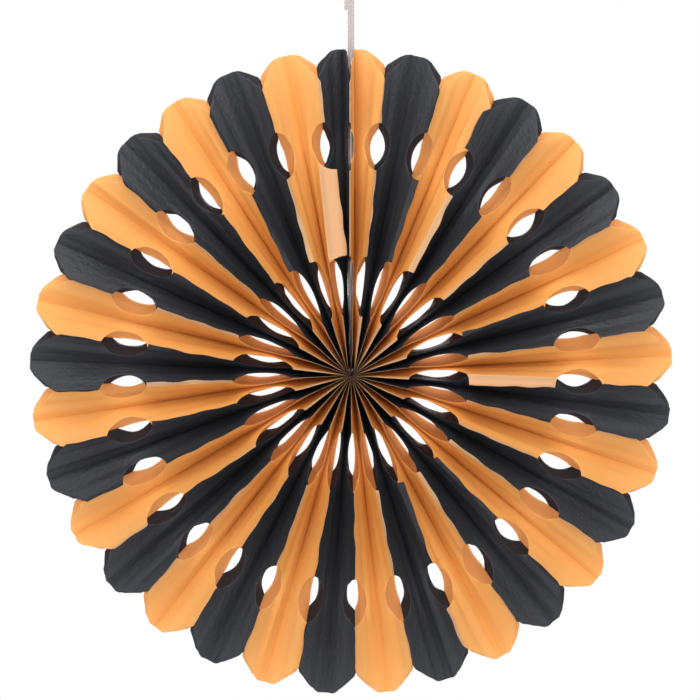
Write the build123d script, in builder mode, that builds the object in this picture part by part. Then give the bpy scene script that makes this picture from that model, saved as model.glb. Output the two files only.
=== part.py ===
from build123d import *
from math import asin, atan, copysign, cos, degrees, pi, radians, sin, sqrt, tan
import os

# A hanging tissue-paper fan, opened to a full circle. Sizes in mm, angles in degrees.
# +Z is up to the hanging eye, -Y is the front, and the origin is the middle of the fan.

# The opened fan. At the tips a facet spreads sideways by about this share of its width.
tip_radius = 204.0
inner_radius = 3.5
spread = 0.9

# The die-cut strip as it lies flat. Its width runs out both ways from the glued crease.
strip_half_width = 26.0
paper = 0.2
edge_glue = 3.0
crease_glue = 1.5

# The nicks in the strip's edges: half circles in front, shorter and shallower ovals behind
inner_nick_at = 55.7
inner_nick_front = 19.0
inner_nick_back = 13.7
inner_nick_back_depth = 9.0
inner_nick_chords = 3
outer_nick_at = 144.0
outer_nick_front = 15.2
outer_nick_back = 11.0
outer_nick_back_depth = 7.5
outer_nick_chords = 4
between_nicks = 75.0

# The strip's outer end is flat at the crease and slants back from there, less so behind.
# Behind, a blunt shoulder leads from the flat to the slant.
front_flat = 7.7
front_slant = 19.5
back_flat = 7.0
shoulder_flat = 11.5
shoulder_slant = 1.6
back_slant = 13.0

# The room that the two end petals leave beside the string
seam_room_inner = 0.1
seam_room_middle = 0.8
seam_room_tip = 1.4

# The thread through the strips, this far from their inner ends
thread_margin = 2.5
thread_thick = 0.8
needle_hole = 1.6

# The doubled string, from the thread up through the seam to its knot, its tail and the hanging eye
string_thick = 2.0
string_sides = 8
strand_gap = 0.1
hitch_radius = 2.0
hitch_gap = 0.1
twist_start = 30.0
twist_end = 56.0
tail_end = 228.0
knot_bottom = 241.0
knot_height = 7.0
knot_wrap = 2.0
knot_gap = 0.05
eye_width = 15.0
eye_bottom = 255.0
eye_straight = 267.0
eye_top = 282.0

fold = strip_half_width - edge_glue
facet_width = fold - crease_glue

# The creases of the end petals stand beside the string: one strand inside, and two from the middle out
end_crease_inner = string_thick / 2 + paper + seam_room_inner
end_crease_middle = string_thick + paper + seam_room_middle
end_crease_tip = string_thick + paper + seam_room_tip

# The string sets the petals sideways, by this much beside the seam and by less and less towards the bottom
seam_shift = end_crease_inner + paper

# As many petals of two colours as close the circle, each end petal set off by its place beside the string
end_offset = degrees(atan((end_crease_tip - seam_shift) / tip_radius))
wanted_pitch = 2 * degrees(atan(spread * facet_width / tip_radius))
whole_petals = 2 * round(((360 - 2 * end_offset) / wanted_pitch - 1) / 2)
pitch = (360 - 2 * end_offset) / (whole_petals + 1)
end_span = pitch / 2 + end_offset
squeeze = seam_shift / whole_petals
end_shift = seam_shift * cos(radians(pitch / 2)) / cos(radians(end_span))
thread_radius = inner_radius + thread_margin


def nick(middle, half_length, depth, chords):
    """Corners (along, across) of an oval nick, from the edge's fold inwards and back to the fold."""
    start = asin(edge_glue / depth)
    step = (pi - 2 * start) / chords
    turns = [start + step * k for k in range(chords + 1)]
    return [(middle - half_length * cos(a), strip_half_width - depth * sin(a)) for a in turns]


def front_end():
    """Corners of the slanted front end, from the fold to the flat at the crease."""
    slope = front_slant / (strip_half_width - front_flat)
    return [(tip_radius - slope * (fold - front_flat), fold), (tip_radius, front_flat)]


def back_end():
    """Corners of the back end, from the fold over the shoulder to the flat at the crease."""
    slope = (back_slant - shoulder_slant) / (strip_half_width - shoulder_flat)
    shoulder = (tip_radius - shoulder_slant, shoulder_flat)
    slanted = (tip_radius - shoulder_slant - slope * (fold - shoulder_flat), fold)
    return [slanted, shoulder, (tip_radius, back_flat)]


def half_strip(inner_nick, inner_depth, outer_nick, outer_depth, end, edge_end):
    """Flat panels of one half of a strip, as lists of corners.

    The panels fan out from three points of the crease, which see the rim up to the middle of the next nick.
    Past the fold lie the three lengths of glued edge that the nicks leave.
    """
    first = nick(inner_nick_at, inner_nick, inner_depth, inner_nick_chords)
    second = nick(outer_nick_at, outer_nick, outer_depth, outer_nick_chords)
    first_middle = inner_nick_chords // 2
    second_middle = outer_nick_chords // 2
    rims = [
        [(inner_radius, fold)] + first[: first_middle + 1],
        first[first_middle:] + second[: second_middle + 1],
        second[second_middle:] + end,
    ]
    pivots = [(along, crease_glue) for along in (inner_radius, between_nicks, tip_radius)]
    panels = []
    for pivot, rim in zip(pivots, rims):
        panels += [[pivot, near, far] for near, far in zip(rim, rim[1:])]
    for pivot, next_pivot, rim in zip(pivots, pivots[1:], rims):
        panels.append([pivot, rim[-1], next_pivot])
    glued_edges = [
        (rims[0][0], first[0], inner_radius, inner_nick_at - inner_nick),
        (first[-1], second[0], inner_nick_at + inner_nick, outer_nick_at - outer_nick),
        (second[-1], end[0], outer_nick_at + outer_nick, edge_end),
    ]
    for fold_near, fold_far, near, far in glued_edges:
        panels.append([fold_near, (near, strip_half_width), (far, strip_half_width), fold_far])
    return panels


def strip():
    """Every flat panel of a strip: its front and back halves and the glued band along the crease."""
    front = half_strip(
        inner_nick_front,
        inner_nick_front,
        outer_nick_front,
        outer_nick_front,
        front_end(),
        tip_radius - front_slant,
    )
    back = half_strip(
        inner_nick_back,
        inner_nick_back_depth,
        outer_nick_back,
        outer_nick_back_depth,
        back_end(),
        tip_radius - back_slant,
    )
    panels = front + [[(along, -across) for along, across in panel] for panel in back]
    for near, far in ((inner_radius, between_nicks), (between_nicks, tip_radius)):
        panels.append(
            [(near, crease_glue), (far, crease_glue), (far, -crease_glue), (near, -crease_glue)]
        )
    return panels


def opened(point, crease, ridge):
    """Place of a flat strip's point in the open fan, with its petal pointing up.

    The crease and ridge functions give how far sideways the strip's glued lines lie at a radius. The facet
    between them is straight, and it stands out from the fan's middle by what its width leaves.
    """
    along, across = point
    sideways = ridge(along) - crease(along)
    rise = sqrt(1 - (sideways / facet_width) ** 2)
    share = min(max((abs(across) - crease_glue) / facet_width, 0), 1)
    depth = min(abs(across), crease_glue) + share * facet_width * rise + max(abs(across) - fold, 0)
    return Vector(crease(along) + share * sideways, -copysign(depth, across), along)


def sheet(crease, ridge):
    """The strip's panels as faces in the open fan."""
    panels = [[opened(point, crease, ridge) for point in panel] for panel in strip()]
    return [Face(Wire.make_polygon(corners, close=True)) for corners in panels]


def end_crease(along):
    """Sideways place of an end petal's crease, which bends where the two strands lie side by side."""
    if along < between_nicks:
        share = (along - inner_radius) / (between_nicks - inner_radius)
        return end_crease_inner + share * (end_crease_middle - end_crease_inner)
    share = (along - between_nicks) / (tip_radius - between_nicks)
    return end_crease_middle + share * (end_crease_tip - end_crease_middle)


def whole_ridge(along):
    return along * tan(radians(pitch / 2)) - squeeze - paper


def end_ridge(along):
    return along * tan(radians(end_span)) + end_shift - paper


# A whole petal: two strips glued to each other along the crease, pricked for the thread
with BuildPart() as whole_petal:
    extrude(sheet(lambda along: 0, whole_ridge), paper, dir=(1, 0, 0))
    mirror(about=Plane.YZ)
    with BuildSketch(Plane.YZ):
        with Locations((0, thread_radius)):
            RegularPolygon(needle_hole / 2, 4)
    extrude(amount=2 * paper, both=True, mode=Mode.SUBTRACT)

# The orange end petal, right of the seam. Its outer strip lies against the black one's.
with BuildPart() as end_petal:
    extrude(sheet(end_crease, end_ridge), paper, dir=(1, 0, 0))
    extrude(sheet(end_crease, lambda along: paper), paper, dir=(-1, 0, 0))
    with BuildSketch(Plane.YZ.offset(end_crease_inner)):
        with Locations((0, thread_radius)):
            RegularPolygon(needle_hole / 2, 4)
    extrude(amount=4 * paper, both=True, mode=Mode.SUBTRACT)

with BuildPart() as black_end_petal:
    add(end_petal.part)
    mirror(about=Plane.YZ, mode=Mode.REPLACE)

# Where each whole petal stands: its azimuth, and how far the string sets it sideways
places = [
    (end_span + pitch * (k + 0.5), seam_shift - squeeze * (2 * k + 1))
    for k in range(whole_petals)
]

# The thread, which runs straight from petal to petal and bends at each crease
thread_corners = [Vector(end_crease(thread_radius), 0, thread_radius)]
for azimuth, sideways in places:
    thread_corners.append(Vector(sideways, 0, thread_radius).rotate(Axis.Y, azimuth))
thread_corners.append(Vector(-end_crease(thread_radius), 0, thread_radius))
with BuildPart() as thread:
    with BuildLine():
        thread_route = Polyline(*thread_corners, close=True)
    with BuildSketch(Plane(thread_route @ 0, z_dir=thread_route % 0)):
        RegularPolygon(thread_thick / 2, 4)
    sweep(transition=Transition.RIGHT)

# The string: tail, hanging eye, right strand down, hitch round the thread, left strand up into the knot
strand_at = (string_thick + strand_gap) / 2
tail_at = 3 * strand_at
hitch_bottom = thread_radius - thread_thick / 2 - hitch_gap - string_thick / 2
knot_top = knot_bottom + knot_height
string_points = [
    (-tail_at, 0, tail_end),
    (-tail_at, 0, eye_bottom),
    (-eye_width / 2, 0, eye_straight),
    (-eye_width / 2, 0, eye_top),
    (eye_width / 2, 0, eye_top),
    (eye_width / 2, 0, eye_straight),
    (strand_at, 0, eye_bottom),
    (strand_at, 0, twist_end),
    (0, hitch_radius, twist_start),
    (0, hitch_radius, hitch_bottom),
    (0, -hitch_radius, hitch_bottom),
    (0, -hitch_radius, twist_start),
    (-strand_at, 0, twist_end),
    (-strand_at, 0, knot_top),
]


def bend_radii(points):
    """The largest arc that 0.45 of each corner's shorter run allows."""
    radii = []
    for before, corner, after in zip(points, points[1:], points[2:]):
        arriving = Vector(*corner) - Vector(*before)
        leaving = Vector(*after) - Vector(*corner)
        turn = radians(arriving.get_angle(leaving))
        radii.append(0.45 * min(arriving.length, leaving.length) / tan(turn / 2))
    return radii


radii = bend_radii(string_points)
print("string bends", [round(radius, 1) for radius in radii])
with BuildPart() as string:
    with BuildLine():
        string_route = FilletPolyline(*string_points, radius=radii)
    with BuildSketch(Plane(string_route @ 0, z_dir=string_route % 0)) as string_section:
        RegularPolygon(string_thick / 2, string_sides)
    sweep()
expected_volume = string_section.sketch.area * string_route.length
print("string length", round(string_route.length, 1))
print("string volume", round(string.part.volume, 1), "against", round(expected_volume, 1))

# The knot: the string's own turns drawn tight round both strands and the tail
bundle_width = tail_at + strand_at + string_thick + 2 * knot_gap
bundle_depth = string_thick + 2 * knot_gap
with BuildPart() as knot:
    with BuildSketch(Plane.XY.offset(knot_bottom)):
        with Locations(((strand_at - tail_at) / 2, 0)):
            SlotOverall(bundle_width + 2 * knot_wrap, bundle_depth + 2 * knot_wrap)
            SlotOverall(bundle_width, bundle_depth, mode=Mode.SUBTRACT)
    extrude(amount=knot_height)


def write(piece, label):
    piece.part.label = label
    export_step(piece.part, f"parts/{label}.step")


os.makedirs("parts", exist_ok=True)
write(end_petal, "petal_end_orange")
for k, (azimuth, sideways) in enumerate(places):
    with BuildPart() as petal:
        with Locations(Rotation(0, azimuth, 0) * Pos(sideways, 0, 0)):
            add(whole_petal.part)
    colour = "orange" if k % 2 else "black"
    write(petal, f"petal_{k + 1:02d}_{colour}")
write(black_end_petal, "petal_end_black")
write(thread, "centre_thread")
write(string, "hanging_string")
write(knot, "string_knot")
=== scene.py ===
import math
import random
from functools import partial

import bmesh
import bpy
import numpy as np
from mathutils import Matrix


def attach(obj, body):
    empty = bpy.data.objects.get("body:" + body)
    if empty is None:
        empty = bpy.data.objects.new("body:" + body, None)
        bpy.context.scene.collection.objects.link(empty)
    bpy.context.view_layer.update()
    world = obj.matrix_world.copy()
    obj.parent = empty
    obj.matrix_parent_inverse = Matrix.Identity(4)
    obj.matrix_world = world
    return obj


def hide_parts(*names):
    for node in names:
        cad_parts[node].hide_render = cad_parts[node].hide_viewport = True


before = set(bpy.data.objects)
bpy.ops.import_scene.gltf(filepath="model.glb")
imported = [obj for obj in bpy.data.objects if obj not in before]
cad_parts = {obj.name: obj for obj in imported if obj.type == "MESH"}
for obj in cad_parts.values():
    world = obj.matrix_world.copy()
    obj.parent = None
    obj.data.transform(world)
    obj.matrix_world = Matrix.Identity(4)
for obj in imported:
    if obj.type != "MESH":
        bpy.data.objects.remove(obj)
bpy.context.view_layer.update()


# The photograph's view: flat on to the fan but from a little above it, so that the front folds show
# lower than the back ones. The picture's middle lies a little above the middle of the fan.
CAMERA_DISTANCE = 4.0
CAMERA_RISE = math.radians(5.5)
PICTURE_WIDTH = 0.4431
PICTURE_MIDDLE = (-0.0006, 0.0128)
SENSOR = 36.0

camera = bpy.data.objects.new("camera", bpy.data.cameras.new("camera"))
bpy.context.scene.collection.objects.link(camera)
camera.location = (
    PICTURE_MIDDLE[0],
    -CAMERA_DISTANCE * math.cos(CAMERA_RISE),
    PICTURE_MIDDLE[1] + CAMERA_DISTANCE * math.sin(CAMERA_RISE),
)
camera.rotation_euler = (math.radians(90) - CAMERA_RISE, 0, 0)
camera.data.sensor_width = SENSOR
camera.data.lens = SENSOR * CAMERA_DISTANCE / PICTURE_WIDTH
bpy.context.scene.camera = camera
bpy.context.scene.view_settings.view_transform = "Standard"


# The studio: a pale floor far below the hanging fan, a white surround, a soft lamp close above, a
# level one in front, and one behind that shines through the tissue as the lit backdrop does.
FLOOR_HEIGHT = -0.6
FLOOR_SIZE = 4.0
FLOOR_COLOUR = (0.9, 0.9, 0.9, 1)
FLOOR_ROUGHNESS = 0.9
SURROUND_LIGHT, SURROUND_SEEN = 0.9, 1.0
# Each lamp's place, size and watts.
LAMPS = {
    "key_lamp": ((-0.15, -0.7, 0.85), 0.8, 9.5),
    "fill_lamp": ((0.3, -2.4, 0.5), 1.6, 10.4),
    "back_lamp": ((0, 2.2, 0.3), 1.8, 60),
}


def soft_lamp(name, place, size, watts):
    """A square lamp at a place in the frame, turned to the middle of the fan."""
    lamp = bpy.data.lights.new(name, "AREA")
    lamp.size = size
    lamp.energy = watts
    lamp_object = bpy.data.objects.new(name, lamp)
    bpy.context.scene.collection.objects.link(lamp_object)
    x, y, z = place
    lamp_object.location = place
    lamp_object.rotation_euler = (math.atan2(math.hypot(x, y), z), 0, math.atan2(x, -y))


for lamp_name, (place, size, watts) in LAMPS.items():
    soft_lamp(lamp_name, place, size, watts)

floor = bpy.data.meshes.new("floor")
reach = FLOOR_SIZE / 2
corners = [(-reach, -reach), (reach, -reach), (reach, reach), (-reach, reach)]
floor.from_pydata([(x, y, FLOOR_HEIGHT) for x, y in corners], [], [(0, 1, 2, 3)])
floor_object = bpy.data.objects.new("floor", floor)
bpy.context.scene.collection.objects.link(floor_object)
floor_paint = bpy.data.materials.new("floor_paint")
floor_paint.use_nodes = True
floor_shader = floor_paint.node_tree.nodes["Principled BSDF"]
floor_shader.inputs["Base Color"].default_value = FLOOR_COLOUR
floor_shader.inputs["Roughness"].default_value = FLOOR_ROUGHNESS
floor.materials.append(floor_paint)

surround = bpy.data.worlds.new("surround")
bpy.context.scene.world = surround
surround.use_nodes = True
links = surround.node_tree.links
background = surround.node_tree.nodes["Background"]
background.inputs["Color"].default_value = (1, 1, 1, 1)
path = surround.node_tree.nodes.new("ShaderNodeLightPath")
seen = surround.node_tree.nodes.new("ShaderNodeMath")
seen.operation = "MAXIMUM"
links.new(path.outputs["Is Camera Ray"], seen.inputs[0])
links.new(path.outputs["Is Glossy Ray"], seen.inputs[1])
strength = surround.node_tree.nodes.new("ShaderNodeMapRange")
strength.inputs["To Min"].default_value = SURROUND_LIGHT
strength.inputs["To Max"].default_value = SURROUND_SEEN
links.new(seen.outputs[0], strength.inputs["Value"])
links.new(strength.outputs["Result"], background.inputs["Strength"])


# The hanging string: one soft two-ply cotton string, doubled. It is hitched round the thread in the
# middle, runs up inside the seam, and ends in a hanging eye and a short tail above the tips.
STRING_DIAMETER = 0.002
STRING_ROUTE = [
    (-0.00315, 0, 0.228),
    (-0.00315, 0, 0.242),
    (-0.00315, 0, 0.255),
    (-0.0075, 0, 0.267),
    (-0.0075, 0, 0.282),
    (0.0075, 0, 0.282),
    (0.0075, 0, 0.267),
    (0.00105, 0, 0.255),
    (0.00105, 0, 0.242),
    (0.00105, 0, 0.084),
    (0.00105, 0, 0.056),
    (0, 0.002, 0.030),
    (0, 0.002, 0.0045),
    (0, -0.002, 0.0045),
    (0, -0.002, 0.030),
    (-0.00105, 0, 0.056),
    (-0.00105, 0, 0.084),
    (-0.00105, 0, 0.248),
]
STRING_STEP = 0.0008
STRING_SIDES = 12
SPLINE_STEPS = 24
PLY_DEPTH = 0.12
PLY_LENGTH = 0.006
STRING_COLOUR = (0.47, 0.41, 0.395, 1)
STRING_SHADE = (0.28, 0.24, 0.23, 1)
STRING_ROUGHNESS, STRING_GLOSS = 0.85, 0.25
FIBRES_ALONG_AND_ROUND = (900, 9, 1)
FIBRE_SLANT = 0.5
FIBRE_DETAIL = 4.0
SHADE_BELOW, COLOUR_ABOVE = 0.3, 0.6
FIBRE_RELIEF, FIBRE_HEIGHT = 0.5, 0.0002


def new_piece(name, mesh, material):
    """Puts a finished mesh into the scene under its name, in its material, on the fan's one body."""
    piece = bpy.data.objects.new(name, mesh)
    bpy.context.scene.collection.objects.link(piece)
    mesh.materials.append(material)
    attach(piece, "root")
    return piece


def smooth_line(route, step):
    """Even points along the smooth curve that a route's points control, from Blender's own spline."""
    curve = bpy.data.curves.new("route", "CURVE")
    curve.dimensions = "3D"
    spline = curve.splines.new("NURBS")
    spline.points.add(len(route) - 1)
    for point, place in zip(spline.points, route):
        point.co = (*place, 1)
    spline.order_u = 3
    spline.use_endpoint_u = True
    spline.resolution_u = SPLINE_STEPS
    holder = bpy.data.objects.new("route", curve)
    mesh = bpy.data.meshes.new_from_object(holder)
    points = np.array([vertex.co for vertex in mesh.vertices])
    bpy.data.objects.remove(holder)
    bpy.data.curves.remove(curve)
    bpy.data.meshes.remove(mesh)
    return evened(points, step)


def evened(points, step):
    """The same line with points at an even step along it."""
    run = np.concatenate([[0], np.cumsum(np.linalg.norm(np.diff(points, axis=0), axis=1))])
    even = np.linspace(0, run[-1], int(run[-1] / step) + 1)
    return np.stack([np.interp(even, run, points[:, axis]) for axis in range(3)], axis=1)


def carried_frames(points):
    """Two directions square to a line at each of its points, carried along it without spinning.

    The first is what is left of the last point's own when its share along the line is taken off.
    The second is square to both. At the start any direction that isn't along the line will do.
    """
    ahead = np.gradient(points, axis=0)
    ahead /= np.linalg.norm(ahead, axis=1)[:, None]
    side = np.cross(ahead[0], (0.3, 1.0, 0.2))
    sides = []
    for direction in ahead:
        side = side - direction * (side @ direction)
        side = side / np.linalg.norm(side)
        sides.append(side)
    sides = np.array(sides)
    return sides, np.cross(ahead, sides)


def plied_tube(name, points):
    """A string's surface: a round section with two grooves, turned as it is carried along the line.

    At an angle a and a distance s along the line, the radius is half the diameter times
    1 - depth * (1 + cos 2(a - turn)) / 2, with the turn growing by one circle in each ply length.
    """
    across, up = carried_frames(points)
    angle = np.linspace(0, 2 * np.pi, STRING_SIDES, endpoint=False)
    distance = np.arange(len(points)) * np.linalg.norm(points[1] - points[0])
    turn = 2 * np.pi * distance / PLY_LENGTH
    lobes = 1 - PLY_DEPTH * (1 + np.cos(2 * (angle[None, :] - turn[:, None]))) / 2
    radius = STRING_DIAMETER / 2 * lobes[:, :, None]
    rings = points[:, None, :] + radius * (
        np.cos(angle)[None, :, None] * across[:, None, :]
        + np.sin(angle)[None, :, None] * up[:, None, :]
    )
    last = (len(points) - 1) * STRING_SIDES
    row = np.arange(len(points) - 1)[:, None] * STRING_SIDES
    here = np.arange(STRING_SIDES)[None, :]
    after = (here + 1) % STRING_SIDES
    next_row = row + STRING_SIDES
    quads = np.stack([row + here, row + after, next_row + after, next_row + here], axis=-1)
    caps = [list(range(STRING_SIDES - 1, -1, -1)), list(range(last, last + STRING_SIDES))]
    mesh = bpy.data.meshes.new(name)
    mesh.from_pydata(rings.reshape(-1, 3).tolist(), [], quads.reshape(-1, 4).tolist() + caps)
    mesh.shade_smooth()
    strand = mesh.uv_layers.new(name="strand")
    owners = np.empty(len(mesh.loops), dtype=np.int64)
    mesh.loops.foreach_get("vertex_index", owners)
    along, around = distance[owners // STRING_SIDES], (owners % STRING_SIDES) / STRING_SIDES
    strand.data.foreach_set("uv", np.stack([along, around], axis=1).astype(np.float32).ravel())
    return mesh


def cotton(name, colour, shade):
    """Matte spun cotton: fine fibres lie along the strand, darker between them than on them."""
    material = bpy.data.materials.new(name)
    material.use_nodes = True
    nodes, links = material.node_tree.nodes, material.node_tree.links
    shader = nodes["Principled BSDF"]
    shader.inputs["Roughness"].default_value = STRING_ROUGHNESS
    shader.inputs["Specular IOR Level"].default_value = STRING_GLOSS
    place = nodes.new("ShaderNodeUVMap")
    place.uv_map = "strand"
    stretch = nodes.new("ShaderNodeMapping")
    stretch.inputs["Scale"].default_value = FIBRES_ALONG_AND_ROUND
    stretch.inputs["Rotation"].default_value = (0, 0, FIBRE_SLANT)
    fibres = nodes.new("ShaderNodeTexNoise")
    fibres.inputs["Scale"].default_value = 1.0
    fibres.inputs["Detail"].default_value = FIBRE_DETAIL
    links.new(place.outputs["UV"], stretch.inputs["Vector"])
    links.new(stretch.outputs["Vector"], fibres.inputs["Vector"])
    tint = nodes.new("ShaderNodeValToRGB")
    tint.color_ramp.elements[0].position = SHADE_BELOW
    tint.color_ramp.elements[0].color = shade
    tint.color_ramp.elements[1].position = COLOUR_ABOVE
    tint.color_ramp.elements[1].color = colour
    links.new(fibres.outputs["Fac"], tint.inputs["Fac"])
    links.new(tint.outputs["Color"], shader.inputs["Base Color"])
    relief = nodes.new("ShaderNodeBump")
    relief.inputs["Strength"].default_value = FIBRE_RELIEF
    relief.inputs["Distance"].default_value = FIBRE_HEIGHT
    links.new(fibres.outputs["Fac"], relief.inputs["Height"])
    links.new(relief.outputs["Normal"], shader.inputs["Normal"])
    return material


string_cotton = cotton("string_cotton", STRING_COLOUR, STRING_SHADE)
string_line = smooth_line(STRING_ROUTE, STRING_STEP)
string = new_piece("string", plied_tube("string", string_line), string_cotton)
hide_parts("hanging_string")


# The knot in that string: its own turns wound close round both strands and the tail, each turn
# lying on the next.
KNOT_LOW, KNOT_HIGH = 0.2421, 0.2469
KNOT_TURNS = 3.2
KNOT_MIDDLE = -0.00105
KNOT_HALF_WIDTH, KNOT_HALF_DEPTH = 0.0042, 0.0021
KNOT_POINTS = 260
KNOT_STEP = 0.0005

# The winding is an oval of sine and cosine that climbs evenly from the lowest turn to the highest.
wound = np.linspace(0, 2 * np.pi * KNOT_TURNS, KNOT_POINTS)
knot_line = np.stack(
    [
        KNOT_MIDDLE + KNOT_HALF_WIDTH * np.sin(wound),
        -KNOT_HALF_DEPTH * np.cos(wound),
        np.linspace(KNOT_LOW, KNOT_HIGH, KNOT_POINTS),
    ],
    axis=1,
)
knot_mesh = plied_tube("knot_turns", evened(knot_line, KNOT_STEP))
knot = new_piece("knot_turns", knot_mesh, string_cotton)
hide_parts("string_knot")


# The thread that gathers the inner ends of the strips: thin black sewing thread, run once through
# every petal close to the middle and tied. It shows only deep in the folds.
THREAD_TWISTS, THREAD_WANDER = 900, 2
THREAD_DARK = (0.008, 0.008, 0.009, 1)
THREAD_LIGHT = (0.03, 0.03, 0.033, 1)
THREAD_ROUGHNESS = 0.8

thread_cotton = bpy.data.materials.new("thread_cotton")
thread_cotton.use_nodes = True
thread_nodes, thread_links = thread_cotton.node_tree.nodes, thread_cotton.node_tree.links
thread_shader = thread_nodes["Principled BSDF"]
thread_place = thread_nodes.new("ShaderNodeTexCoord")
thread_twist = thread_nodes.new("ShaderNodeTexWave")
thread_twist.inputs["Scale"].default_value = THREAD_TWISTS
thread_twist.inputs["Distortion"].default_value = THREAD_WANDER
thread_tint = thread_nodes.new("ShaderNodeValToRGB")
thread_tint.color_ramp.elements[0].color = THREAD_DARK
thread_tint.color_ramp.elements[1].color = THREAD_LIGHT
thread_links.new(thread_place.outputs["Object"], thread_twist.inputs["Vector"])
thread_links.new(thread_twist.outputs["Fac"], thread_tint.inputs["Fac"])
thread_links.new(thread_tint.outputs["Color"], thread_shader.inputs["Base Color"])
thread_shader.inputs["Roughness"].default_value = THREAD_ROUGHNESS
thread_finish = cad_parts["centre_thread"].data.materials
thread_finish.clear()
thread_finish.append(thread_cotton)


# The tissue itself: thin dyed paper, soft and half see-through, cloudy and a little crumpled. Its
# colour holds painted shade: deepest at the crease and in the valley towards it, paler towards the
# fold, and darker towards the middle, with painted light paler towards the tips. It is dull where a
# glued edge lies on another, and painted shade makes it dark at the middle, where all the layers are
# pressed together.
# Each dye's three stops run from its deepest colour, painted shade in the crease, to its palest,
# painted light; the black's blue-grey palest stop is painted sheen.
ORANGE = ((0.96, 0.37, 0.045, 1), (0.9, 0.45, 0.11, 1), (0.8, 0.51, 0.21, 1))
ORANGE_EDGE = (0.8, 0.49, 0.27, 1)
ORANGE_SEEN_THROUGH = (1.0, 0.69, 0.42, 1)
BLACK = ((0.02, 0.02, 0.022, 1), (0.034, 0.035, 0.041, 1), (0.062, 0.066, 0.082, 1))
BLACK_EDGE = (0.022, 0.023, 0.028, 1)
BLACK_SEEN_THROUGH = (0.18, 0.24, 0.3, 1)
# Painted shade at the middle, where all the layers are pressed together.
PAINTED_MIDDLE_SHADE = (0.05, 0.022, 0.014, 1)
COLOUR_STOPS = (0.0, 0.45, 1.0)

# The grain: how often each noise repeats in a metre along and across the strip, and its detail.
STREAKS = (9, 240, 1), 2.0
CRINKLES = (480, 360, 1), 4.0
CLOUDS = (260, 330, 1), 3.0

# Ramps, each from where to where, and from which value to which: over the share of a facet's width,
# over the distance from the middle of the fan in metres, and over the two noises.
# Painted shade: the colour is deeper at the crease and paler towards the fold, across each facet's
# valley, and a narrow line of painted shade lies in the groove of the crease.
PAINTED_VALLEY_SHADE = (0.05, 0.9, 0.27, 0.35)
PAINTED_CREASE_SHADE = (0, 0.04, -0.18, 0)
GLUED_EDGE = (1.0, 1.15, 0, 1)
# Painted shade and light: darker towards the middle, where the folds are deep and narrow, and paler
# towards the tips.
PAINTED_LIGHT_OUTWARD = (0.03, 0.2, 0, 0.4)
# Over this ramp the painted shade of the pressed middle fades out and the light through the tissue
# comes in.
FREE_OF_THE_MIDDLE = (0.002, 0.018, 0, 1)
STREAK_PALENESS = (0.3, 0.7, -0.08, 0.12)
# Painted shade and sheen of the crumples, following the crinkles' pattern.
PAINTED_CRINKLE_SHADING = (0.2, 1.2, -0.5, 0.5)


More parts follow.
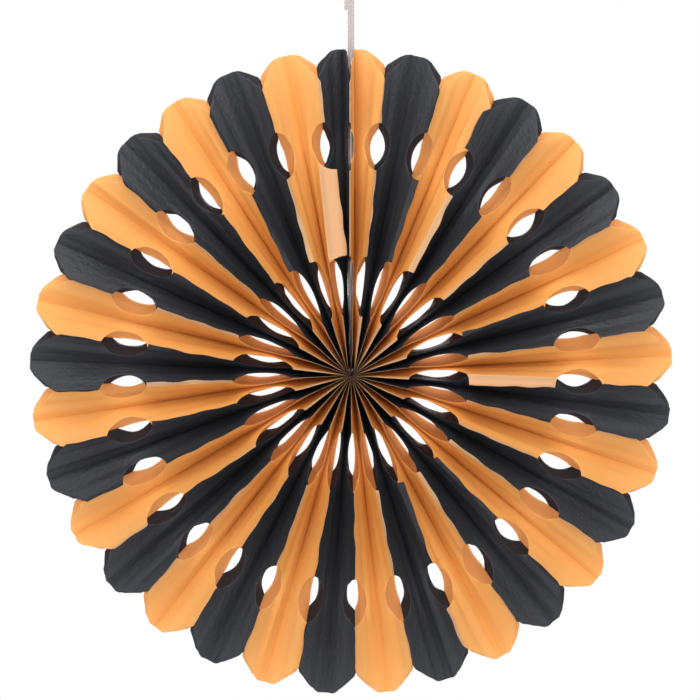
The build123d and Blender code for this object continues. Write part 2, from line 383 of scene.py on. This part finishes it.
def tissue_grain():
    """Every tissue sheet's node group: its painted shading and grain, glued edge, freedom and height.

    Streaks are noise drawn out along the strip, crinkles a fine ridged noise, and clouds an even one.
    The height adds the three, each with its own weight. The shading and grain adds painted shade of
    the valley, paler from the crease to the fold, painted light paler along the strip from a darker
    middle to the tips, and the streaks' uneven grain, less a narrow line of painted shade in the
    groove of the crease; painted shade and sheen of the crinkles come on top. Freedom is nothing in
    the pressed middle of the fan and one outside it.
    """
    group = bpy.data.node_groups.new("tissue_grain", "ShaderNodeTree")
    for name in ("Streaks", "Crinkles", "Clouds"):
        group.interface.new_socket(name, in_out="INPUT", socket_type="NodeSocketFloat")
    for name in ("Shading and grain", "Edge", "Freedom", "Height"):
        group.interface.new_socket(name, in_out="OUTPUT", socket_type="NodeSocketFloat")
    nodes, links = group.nodes, group.links
    given = nodes.new("NodeGroupInput")
    result = nodes.new("NodeGroupOutput")
    place = nodes.new("ShaderNodeUVMap")
    place.uv_map = "sheet"

    def noise(scale, detail, kind="FBM"):
        stretch = nodes.new("ShaderNodeMapping")
        stretch.inputs["Scale"].default_value = scale
        texture = nodes.new("ShaderNodeTexNoise")
        texture.noise_type = kind
        texture.inputs["Scale"].default_value = 1.0
        texture.inputs["Detail"].default_value = detail
        links.new(place.outputs["UV"], stretch.inputs["Vector"])
        links.new(stretch.outputs["Vector"], texture.inputs["Vector"])
        return texture.outputs["Fac"]

    def combined(operation, first, second):
        result_of = nodes.new("ShaderNodeMath")
        result_of.operation = operation
        links.new(first, result_of.inputs[0])
        links.new(second, result_of.inputs[1])
        return result_of.outputs[0]

    def ramped(value, limits):
        ramp = nodes.new("ShaderNodeMapRange")
        for socket, limit in zip(("From Min", "From Max", "To Min", "To Max"), limits):
            ramp.inputs[socket].default_value = limit
        links.new(value, ramp.inputs["Value"])
        return ramp.outputs["Result"]

    streaks = noise(*STREAKS)
    crinkles = noise(*CRINKLES, "RIDGED_MULTIFRACTAL")
    clouds = noise(*CLOUDS)
    height = combined(
        "ADD",
        combined("MULTIPLY", streaks, given.outputs["Streaks"]),
        combined("MULTIPLY", crinkles, given.outputs["Crinkles"]),
    )
    height = combined("ADD", height, combined("MULTIPLY", clouds, given.outputs["Clouds"]))
    links.new(height, result.inputs["Height"])
    panel = nodes.new("ShaderNodeUVMap")
    panel.uv_map = "panel"
    part = nodes.new("ShaderNodeSeparateXYZ")
    links.new(panel.outputs["UV"], part.inputs[0])
    across, outward = part.outputs["X"], part.outputs["Y"]
    # Painted light and shade across the facet, along the strip and in the crease, plus the streaks'
    # grain.
    shading_and_grain = combined(
        "ADD",
        combined("ADD", ramped(across, PAINTED_VALLEY_SHADE), ramped(across, PAINTED_CREASE_SHADE)),
        combined("ADD", ramped(outward, PAINTED_LIGHT_OUTWARD), ramped(streaks, STREAK_PALENESS)),
    )
    # Painted shade and sheen of the crumples, by the crinkle noise and its weight.
    crinkle_shading = combined("MULTIPLY", ramped(crinkles, PAINTED_CRINKLE_SHADING), given.outputs["Crinkles"])
    links.new(combined("ADD", shading_and_grain, crinkle_shading), result.inputs["Shading and grain"])
    freedom = ramped(outward, FREE_OF_THE_MIDDLE)
    links.new(freedom, result.inputs["Freedom"])
    edge = combined("MULTIPLY", ramped(across, GLUED_EDGE), freedom)
    links.new(edge, result.inputs["Edge"])
    return group


grain = tissue_grain()


def tissue(name, colours, edge_colour, seen_through, passes, weights, relief_depth, roughness, gloss):
    """Dyed tissue: a dull surface mixed with the light that comes through from behind.

    The colour goes by the painted shading and grain through three stops, then to the edge colour where
    a glued edge lies and to a dark colour of painted shade at the pressed middle. The light that
    passes is a share of the freedom.
    """
    material = bpy.data.materials.new(name)
    material.use_nodes = True
    nodes, links = material.node_tree.nodes, material.node_tree.links
    surface = nodes["Principled BSDF"]
    surface.inputs["Roughness"].default_value = roughness
    surface.inputs["Specular IOR Level"].default_value = gloss
    behind = nodes.new("ShaderNodeBsdfTranslucent")
    behind.inputs["Color"].default_value = seen_through
    both = nodes.new("ShaderNodeMixShader")
    through = nodes.new("ShaderNodeMath")
    through.operation = "MULTIPLY"
    through.inputs[1].default_value = passes
    fibres = nodes.new("ShaderNodeGroup")
    fibres.node_tree = grain
    for socket, weight in weights.items():
        fibres.inputs[socket].default_value = weight
    tint = nodes.new("ShaderNodeValToRGB")
    tint.color_ramp.elements.new(COLOUR_STOPS[1])
    for stop, place, colour in zip(tint.color_ramp.elements, COLOUR_STOPS, colours):
        stop.position = place
        stop.color = colour
    dulled = nodes.new("ShaderNodeMix")
    dulled.data_type = "RGBA"
    dulled.inputs["B"].default_value = edge_colour
    links.new(fibres.outputs["Shading and grain"], tint.inputs["Fac"])
    links.new(fibres.outputs["Edge"], dulled.inputs["Factor"])
    links.new(tint.outputs["Color"], dulled.inputs["A"])
    # Painted shade: the colour goes dark at the pressed middle.
    middle_shaded = nodes.new("ShaderNodeMix")
    middle_shaded.data_type = "RGBA"
    middle_shaded.inputs["A"].default_value = PAINTED_MIDDLE_SHADE
    links.new(fibres.outputs["Freedom"], middle_shaded.inputs["Factor"])
    links.new(dulled.outputs["Result"], middle_shaded.inputs["B"])
    links.new(middle_shaded.outputs["Result"], surface.inputs["Base Color"])
    links.new(fibres.outputs["Freedom"], through.inputs[0])
    links.new(through.outputs[0], both.inputs["Fac"])
    relief = nodes.new("ShaderNodeBump")
    relief.inputs["Strength"].default_value = 1.0
    relief.inputs["Distance"].default_value = relief_depth
    links.new(fibres.outputs["Height"], relief.inputs["Height"])
    links.new(relief.outputs["Normal"], surface.inputs["Normal"])
    links.new(surface.outputs["BSDF"], both.inputs[1])
    links.new(behind.outputs["BSDF"], both.inputs[2])
    links.new(both.outputs["Shader"], nodes["Material Output"].inputs["Surface"])
    return material


TISSUES = {
    "orange": tissue(
        "orange_tissue",
        ORANGE,
        ORANGE_EDGE,
        ORANGE_SEEN_THROUGH,
        passes=0.45,
        weights={"Streaks": 0.5, "Crinkles": 0.03, "Clouds": 0.25},
        relief_depth=0.0006,
        roughness=0.8,
        gloss=0.2,
    ),
    "black": tissue(
        "black_tissue",
        BLACK,
        BLACK_EDGE,
        BLACK_SEEN_THROUGH,
        passes=0.32,
        weights={"Streaks": 0.15, "Crinkles": 0.42, "Clouds": 0.6},
        relief_depth=0.0012,
        roughness=0.55,
        gloss=0.4,
    ),
}


# The die-cut strips, flat: long bands of tissue with a round nick at two places of both edges and
# with slanted outer ends. Behind, the nicks are shallower, a little further in, and deeper on one
# side of a petal than on the other. The first petal is glued so that its inner nick hardly opens.
TIP = 0.204
INNER_END = 0.0014
HALF_WIDTH = 0.026
EDGE_GLUE = 0.003
CREASE_GLUE = 0.0015

# The inner and the outer nick: how far from the middle of the fan its own middle is, half its length,
# and its depth by the kind of petal. Side 1 is a petal's clockwise strip, and -1 is the other one.
# Behind, an orange strip's nicks are as long as those of the black strip that it is glued to.
FRONT_ROUNDNESS, BACK_ROUNDNESS = 0.5, 0.75
FRONT_MIDDLES = (0.0557, 0.144)
FRONT_LENGTHS = (0.019, 0.0152)
FRONT_DEPTHS = {
    "orange": FRONT_LENGTHS,
    "end": FRONT_LENGTHS,
    "black": (0.0165, 0.0148),
    "first": (0.005, 0.0148),
}
BACK_MIDDLES = (0.053, 0.1414)
BACK_LENGTHS = {1: (0.0145, 0.0125), -1: (0.0165, 0.0125)}
BACK_DEPTHS = {
    ("black", -1): (0.015, 0.0115),
    ("black", 1): (0.013, 0.009),
    ("orange", -1): (0.004, 0.004),
    ("orange", 1): (0.0095, 0.007),
    ("end", -1): (0.018, 0.01),
    ("end", 1): (0.018, 0.01),
}

# The corners of the slanted outer end: how far short of the tip each is, and the half width there.
FRONT_END = ((0.0195, 0.026), (0.0012, 0.0089), (0.0, 0.0065))
BACK_END = ((0.013, 0.026), (0.0045, 0.0152), (0.0022, 0.0122), (0.0008, 0.0095), (0.0, 0.006))

# The grid of a strip: the stretches with even rows and their number, and the rows of each nick.
EVEN_ROWS = ((INNER_END, 0.0367, 9), (0.0747, 0.1288, 17), (0.1592, 0.1845, 8), (0.1845, TIP, 9))
FRONT_NICK_ROWS, BACK_NICK_ROWS = 15, 11
CLOSEST_ROWS = 0.0002
FACET_COLUMNS = 9
LAND_COLUMNS = 3


def strip_rows():
    """Distances of a strip's rows from the middle of the fan.

    They are even, but within a nick they stand at even turns of its oval, middle less length times
    the cosine of the turn, and at the ends they stand at the corners of the cut.
    """
    rows = [np.linspace(start, end, count) for start, end, count in EVEN_ROWS]
    for middles, lengths, count in (
        (FRONT_MIDDLES, FRONT_LENGTHS, FRONT_NICK_ROWS),
        (BACK_MIDDLES, BACK_LENGTHS[-1], BACK_NICK_ROWS),
    ):
        for middle, length in zip(middles, lengths):
            rows.append(middle - length * np.cos(np.linspace(0, np.pi, count)))
    rows.append(TIP - np.array([short for short, half_width in FRONT_END + BACK_END]))
    rows = np.unique(np.concatenate(rows))
    return rows[np.concatenate([[True], np.diff(rows) > CLOSEST_ROWS])]


def cut_edge(rows, middles, lengths, depths, roundness, end):
    """The half width of a cut strip at each of its rows.

    It goes in at each nick by depth * (1 - (r / length)^2)^roundness, where r is the distance from the
    nick's middle. A roundness of a half makes an oval, and more makes a lens.
    """
    edge = np.interp(rows, [TIP - short for short, width in end], [width for short, width in end])
    for middle, length, depth in zip(middles, lengths, depths):
        edge = edge - depth * np.clip(1 - ((rows - middle) / length) ** 2, 0, None) ** roundness
    return edge


ROWS = strip_rows()
FRONT_EDGES = {
    kind: cut_edge(ROWS, FRONT_MIDDLES, FRONT_LENGTHS, depths, FRONT_ROUNDNESS, FRONT_END)
    for kind, depths in FRONT_DEPTHS.items()
}
FRONT_EDGES["first", 1] = FRONT_EDGES["black"]
BACK_EDGES = {}
for (kind, side), depths in BACK_DEPTHS.items():
    lengths = BACK_LENGTHS[-side if kind == "orange" else side]
    BACK_EDGES[kind, side] = cut_edge(ROWS, BACK_MIDDLES, lengths, depths, BACK_ROUNDNESS, BACK_END)
for side in (-1, 1):
    BACK_EDGES["first", side] = BACK_EDGES["black", side]


# The petals: two strips of one colour glued along the crease, opened to an X. Neighbours are glued
# along their edges, which lean to one side or the other and show one colour over the next.
WHOLE_PETALS = 32
FACET_WIDTH = HALF_WIDTH - EDGE_GLUE - CREASE_GLUE
PAPER = 0.0001
PAPER_GAP = 0.000048
FRONT, BACK = np.array((0.0, -1.0, 0.0)), np.array((0.0, 1.0, 0.0))

# An end petal spans half of a whole one's pitch, and a little more at the tip. The creases and the
# ridges stand off their spokes, away from the seam: most beside it, and not at all opposite to it.
SEAM_SHIFT = 0.0015
END_EXTRA = 0.0036 - SEAM_SHIFT
END_OFFSET = math.degrees(math.atan(END_EXTRA / TIP))
PITCH = (360 - 2 * END_OFFSET) / (WHOLE_PETALS + 1)
END_SPAN = PITCH / 2 + END_OFFSET

# How the hanging fan differs from an even round one: two shares of its radius, and a turn in degrees.
SAG = 0.0086
OVAL = 0.004
BOTTOM_TURN = 0.47

# The slow waves in a facet: how many lie across it and how high each is, between which heights its
# middle lies, and how many waves it drifts from end to end. The height in metres is full from a
# distance outwards, and never less than the least share of it.
SWELL_WAVES = ((1.0, 0.5), (1.7, 0.5), (2.6, 0.4), (3.6, 0.25))
SWELL_MIDDLE = (-0.5, 0.4)
SWELL_DRIFT = 0.7
SWELL_HEIGHT = 0.0008
SWELL_FULL_FROM, SWELL_LEAST = 0.15, 0.06

# How much a free land curls, and how late across a facet its gap turns over into the land's.
LAND_CURL = 12
FOLD_SHARPNESS = 6

# The strips lie this far apart on the layout that their grain follows, so that no two are alike.
STRIP_SPACING = 0.06
SAME_PLACE = 1e-6
SHARP_FOLD = math.radians(35)

# How the glued edge leans at each ridge, clockwise from the seam, in millimetres: at the tip, at the
# outer and the inner end of the stretch between the nicks, and inside the inner nick. Less than
# nothing leans the other way. The fifth size is how far the fold stands to the other side where one
# strip is glued short of the other's edge. Behind, the same sizes count for a third as much.
LEAN_PLACES = (INNER_END, 0.0367, 0.075, 0.129, 0.159, TIP)
FRONT_LEAN, BACK_LEAN = 0.001, 0.00035
LEAN_LEFT_AT_MIDDLE = 0.2
WIDE_LAND_SINE, STEEPEST_SINE = 0.93, 0.95
RAGGED_WAVES = (4, 7, 11)
RAGGED_HEIGHT = 0.25
RAGGED_FULL_FROM = 0.1
LEANS = (
    (0.5, 1.0, 1.0, 2.0, 0),
    (0.5, 4.0, 2.5, 0.5, 0),
    (-4.5, 3.5, 4.0, 1.5, 0),
    (-0.5, 1.5, 0.3, 0.5, 0),
    (-0.5, 1.0, 1.5, 1.5, 0),
    (-1.0, 1.0, -1.0, 0.3, 0),
    (-1.0, -2.0, -2.5, 1.0, 0),
    (-0.5, 0.3, -2.0, 0.3, 0),
    (-0.5, 3.0, 3.0, 1.0, 3.5),
    (-1.0, 1.0, -1.5, 0.3, 0),
    (-0.5, 1.0, 0.5, 0.5, 0),
    (-1.0, -0.3, -2.5, -0.3, 0),
    (-1.0, -2.5, -2.5, 0.5, 0),
    (-0.5, -1.0, -2.5, -0.5, 0),
    (1.5, -1.5, -4.5, 0.3, 0),
    (-0.3, -0.5, -2.0, -0.5, 0),
    (0.3, -0.5, -1.0, 0.3, 0),
    (0.3, 0.5, 0.3, -0.5, 0),
    (0.3, 0.5, 1.0, 0.5, 0),
    (0.5, 1.0, -0.5, -0.5, 0),
    (1.0, 1.5, 0.5, 0.5, 0),
    (-1.0, 1.5, -1.0, -1.0, 0),
    (-2.0, -1.5, 0.5, 0.3, 0),
    (1.0, 2.0, 0.5, -1.0, 0),
    (-0.3, 3.0, 1.5, 0.5, 0),
    (1.0, 2.5, -0.5, -1.0, 0),
    (1.0, 2.0, 1.5, 0.5, 0),
    (1.0, 2.5, 0.3, -0.5, 0),
    (-0.5, 1.5, 0.3, 0.3, 0),
    (0.5, 2.0, -0.5, -0.5, 0),
    (-2.0, -1.5, -3.0, 0.3, 0),
    (0.3, -1.5, -3.0, -0.5, 0),
    (2.0, 6.0, 6.5, 0.5, 5.0),
)


def spoke(azimuth):
    """Where a line out from the middle really lies: its direction, as long as it is, and clockwise.

    The azimuth a runs clockwise from the top. The hanging fan turns a little at the bottom, sags, and
    is a little taller than it is wide: the line stands at a less bottom turn times 1 - cos a, and its
    length is 1 less sag times the cosine of that, plus oval times the cosine of its double.
    """
    turn = math.radians(azimuth - BOTTOM_TURN * (1 - math.cos(math.radians(azimuth))))
    outward = np.array((math.sin(turn), 0, math.cos(turn)))
    clockwise = np.array((math.cos(turn), 0, -math.sin(turn)))
    length = 1 - SAG * math.cos(turn) + OVAL * math.cos(2 * turn)
    return outward * length, clockwise


def half_sheet(crease, ridge_place, land, edge, side, forward, seed):
    """One half of a strip in the open fan, from its crease to its cut edge, as a grid of places.

    A point's share s of the way from the crease to the fold puts it on the straight line between
    them, plus a swell of sin(pi s) times a few long slow waves. Past the fold it goes on in the
    lean's direction, and curls over with the square of the distance past the glue. Each sheet lies a
    small gap to its own side of the glued lines, so that no two share a face.
    """
    fold, lean, clockwise = ridge_place
    chance = random.Random(seed)
    inner = np.minimum(edge, HALF_WIDTH - land)
    even = np.linspace(0, 1, FACET_COLUMNS + 1)[None, :]
    rest = np.linspace(0, 1, LAND_COLUMNS + 1)[None, 1:]
    facet_widths = CREASE_GLUE + (inner - CREASE_GLUE)[:, None] * even
    land_widths = inner[:, None] + (edge - inner)[:, None] * rest
    widths = np.concatenate([facet_widths, land_widths], axis=1)
    reach = widths - CREASE_GLUE
    share = np.clip(reach / (HALF_WIDTH - land - CREASE_GLUE)[:, None], 0, 1)
    beyond = np.clip(widths - (HALF_WIDTH - land)[:, None], 0, None)
    across = fold - crease
    normal = np.cross(np.gradient(fold + crease, axis=0), across)
    normal /= np.linalg.norm(normal, axis=1)[:, None]
    long = ROWS[:, None] / TIP
    swell = chance.uniform(*SWELL_MIDDLE)
    for waves, height in SWELL_WAVES:
        drift = chance.uniform(-SWELL_DRIFT, SWELL_DRIFT)
        start = chance.uniform(0, 1)
        swell = swell + height * np.sin(2 * np.pi * (waves * share + drift * long + start))
    fullness = np.clip(ROWS / SWELL_FULL_FROM, SWELL_LEAST, 1)[:, None]
    swell = swell * SWELL_HEIGHT * fullness * np.sin(np.pi * share)
    outward = np.sin(lean)[:, None] * clockwise + np.cos(lean)[:, None] * forward
    beside = np.cos(lean)[:, None] * clockwise - np.sin(lean)[:, None] * forward
    curl = np.sign(lean)[:, None] * LAND_CURL * np.clip(beyond - EDGE_GLUE, 0, None) ** 2
    near_fold = (share**FOLD_SHARPNESS)[:, :, None]
    layer = side * PAPER_GAP * ((1 - near_fold) * clockwise - near_fold * beside[:, None, :])
    places = (
        crease[:, None, :]
        + share[:, :, None] * across[:, None, :]
        + beyond[:, :, None] * outward[:, None, :]
        + swell[:, :, None] * normal[:, None, :]
        + curl[:, :, None] * beside[:, None, :]
        + layer
    )
    return places, widths, share + beyond / EDGE_GLUE


def strip_grid(front, back, number, start):
    """Joins a strip's halves at the crease: its places, faces, flat places and shares of the facet.

    The flat place is the distance from the middle and the width across, and the share grows from 0 at
    the crease over 1 at the fold. Faces that the cut leaves no width are dropped.
    """
    places = np.concatenate([front[0][:, ::-1], back[0]], axis=1)
    widths = np.concatenate([-front[1][:, ::-1], back[1]], axis=1)
    shares = np.concatenate([front[2][:, ::-1], back[2]], axis=1)
    rows, columns = widths.shape
    corner = np.arange(rows - 1)[:, None] * columns + np.arange(columns - 1)[None, :] + start
    quads = np.stack([corner, corner + 1, corner + columns + 1, corner + columns], axis=-1)
    spread = np.diff(widths, axis=1)
    kept = (spread[:-1] + spread[1:]) > SAME_PLACE
    along = np.repeat(ROWS[:, None], columns, axis=1)
    flat = np.stack([along, widths + STRIP_SPACING * number], axis=-1)
    panel = np.stack([shares, along], axis=-1)
    return places.reshape(-1, 3), quads[kept], flat.reshape(-1, 2), panel.reshape(-1, 2)


def add_petal(name, number, strips):
    """Makes a petal's thin closed sheets from its two strips, in place of the plain petal."""
    first = strip_grid(*strips[0], 2 * number, 0)
    second = strip_grid(*strips[1], 2 * number + 1, len(first[0]))
    places, faces, flat, panel = (np.concatenate(pair) for pair in zip(first, second))
    mesh = bpy.data.meshes.new(name + "_tissue")
    mesh.from_pydata(places.tolist(), [], faces.tolist())
    owners = np.empty(len(mesh.loops), dtype=np.int64)
    mesh.loops.foreach_get("vertex_index", owners)
    for layer, values in (("sheet", flat), ("panel", panel)):
        corners = values[owners].astype(np.float32).ravel()
        mesh.uv_layers.new(name=layer).data.foreach_set("uv", corners)
    shape = bmesh.new()
    shape.from_mesh(mesh)
    bmesh.ops.remove_doubles(shape, verts=shape.verts, dist=SAME_PLACE)
    bmesh.ops.dissolve_degenerate(shape, edges=shape.edges, dist=SAME_PLACE)
    shape.to_mesh(mesh)
    shape.free()
    mesh.shade_smooth()
    mesh.set_sharp_from_angle(angle=SHARP_FOLD)
    colour = name.rsplit("_", 1)[1]
    petal = new_piece(name + "_tissue", mesh, TISSUES[colour])
    thickness = petal.modifiers.new("paper", "SOLIDIFY")
    thickness.thickness = PAPER
    thickness.offset = 0
    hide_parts(name)


def ridge(number, forward):
    """The place, reach and widest land of a ridge on one face of the fan, at every row.

    The fold stands out from the fan's middle plane by what the facet's width leaves over its spread,
    the root of the width's square less the spread's. The land's lean is the arc sine of its reach
    over its width. Behind, the lands lean a third as far. Short waves make them ragged.
    """
    outward, clockwise = spoke(END_SPAN + PITCH * (number - 1))
    tip, outer, inner, centre, set_back = LEANS[number - 1]
    leans = (centre * LEAN_LEFT_AT_MIDDLE, centre, inner, outer, tip, tip)
    share = FRONT_LEAN if forward is FRONT else BACK_LEAN
    reach = np.interp(ROWS, LEAN_PLACES, leans)
    chance = random.Random(number)
    fullness = np.clip(ROWS / RAGGED_FULL_FROM, 0, 1)
    for waves in RAGGED_WAVES:
        wave = np.sin(2 * np.pi * (waves * ROWS / TIP + chance.random()))
        reach = reach + RAGGED_HEIGHT * wave * fullness
    reach = share * reach
    short = share * np.interp(ROWS, LEAN_PLACES, (0, 0, set_back, set_back, 0, 0))
    widest = np.maximum(EDGE_GLUE, (np.abs(reach) + short) / WIDE_LAND_SINE)
    sine = np.clip((reach + np.sign(reach) * short) / widest, -STEEPEST_SINE, STEEPEST_SINE)
    shift = SEAM_SHIFT * (1 - 2 * (number - 1) / WHOLE_PETALS)
    half_pitch = math.radians(PITCH / 2)
    stands = CREASE_GLUE + np.sqrt(FACET_WIDTH**2 - (ROWS * math.tan(half_pitch) + short) ** 2)
    fold = (
        (ROWS / math.cos(half_pitch))[:, None] * outward
        + (shift - np.sign(reach) * short)[:, None] * clockwise
        + stands[:, None] * forward
    )
    return (fold, np.arcsin(sine), clockwise), reach, widest


def petal_strips(number, kind, crease_line, ridges):
    """Both strips of a petal, each from its front edge over the crease to its back edge.

    A strip's land is the widest one where it lies on top, and as wide as the glue where it doesn't.
    """
    strips = []
    for side, ridge_of in zip((-1, 1), ridges):
        halves = []
        front_edge = FRONT_EDGES.get((kind, side), FRONT_EDGES[kind])
        for forward, edge in ((FRONT, front_edge), (BACK, BACK_EDGES[kind, side])):
            place, reach, widest = ridge_of(forward)
            land = np.where(side * reach > 0, widest, EDGE_GLUE)
            crease = crease_line + CREASE_GLUE * forward
            seed = 1000 * number + 10 * side + int(forward[1])
            halves.append(half_sheet(crease, place, land, edge, side, forward, seed))
        strips.append(halves)
    return strips


for number in range(1, WHOLE_PETALS + 1):
    colour = "black" if number % 2 else "orange"
    kind = "first" if number == 1 else colour
    outward, clockwise = spoke(END_SPAN + PITCH * (number - 0.5))
    shift = SEAM_SHIFT * (1 - (2 * number - 1) / WHOLE_PETALS)
    crease_line = ROWS[:, None] * outward + shift * clockwise
    ridges = [partial(ridge, number), partial(ridge, number + 1)]
    add_petal(f"petal_{number:02d}_{colour}", number, petal_strips(number, kind, crease_line, ridges))


# The two end petals: their creases stand straight up beside the string, and their outer strips lie
# face to face in the seam, the orange edge over the black one. Within the inner nicks the seam gapes.
END_CREASE_PLACES = (INNER_END, 0.075, TIP)
END_CREASES = {1: (0.0011, 0.0021, 0.0023), -1: (0.0013, 0.0036, 0.0056)}
SEAM_GAPE = 0.001
SEAM_GAPE_PLACES = (0.008, 0.014, 0.037, 0.06)
SEAM_LEAN = 0.0009
SEAM_LEAN_PLACES = (0.06, 0.07)


def seam_ridge(side, forward):
    """The place, reach and land of an end petal's outer strip, which stands out along the seam.

    As at a ridge, it stands out by the root of the facet width's square less that of its spread.
    """
    outward, clockwise = spoke(0)
    gape = np.interp(ROWS, SEAM_GAPE_PLACES, (0, SEAM_GAPE, SEAM_GAPE, 0))
    crease = np.interp(ROWS, END_CREASE_PLACES, END_CREASES[side])
    stands = CREASE_GLUE + np.sqrt(FACET_WIDTH**2 - (crease - gape) ** 2)
    reach = -SEAM_LEAN * np.interp(ROWS, SEAM_LEAN_PLACES, (0, 1))
    fold = ROWS[:, None] * outward + side * gape[:, None] * clockwise + stands[:, None] * forward
    return (fold, np.arcsin(reach / EDGE_GLUE), clockwise), reach, np.full(len(ROWS), EDGE_GLUE)


for side, name, number, beside in (
    (1, "petal_end_orange", 0, 1),
    (-1, "petal_end_black", WHOLE_PETALS + 1, WHOLE_PETALS + 1),
):
    outward, clockwise = spoke(0)
    sideways = side * np.interp(ROWS, END_CREASE_PLACES, END_CREASES[side])
    crease_line = ROWS[:, None] * outward + sideways[:, None] * clockwise
    ridges = [partial(seam_ridge, side), partial(ridge, beside)]
    add_petal(name, number, petal_strips(number, "end", crease_line, ridges[::side]))
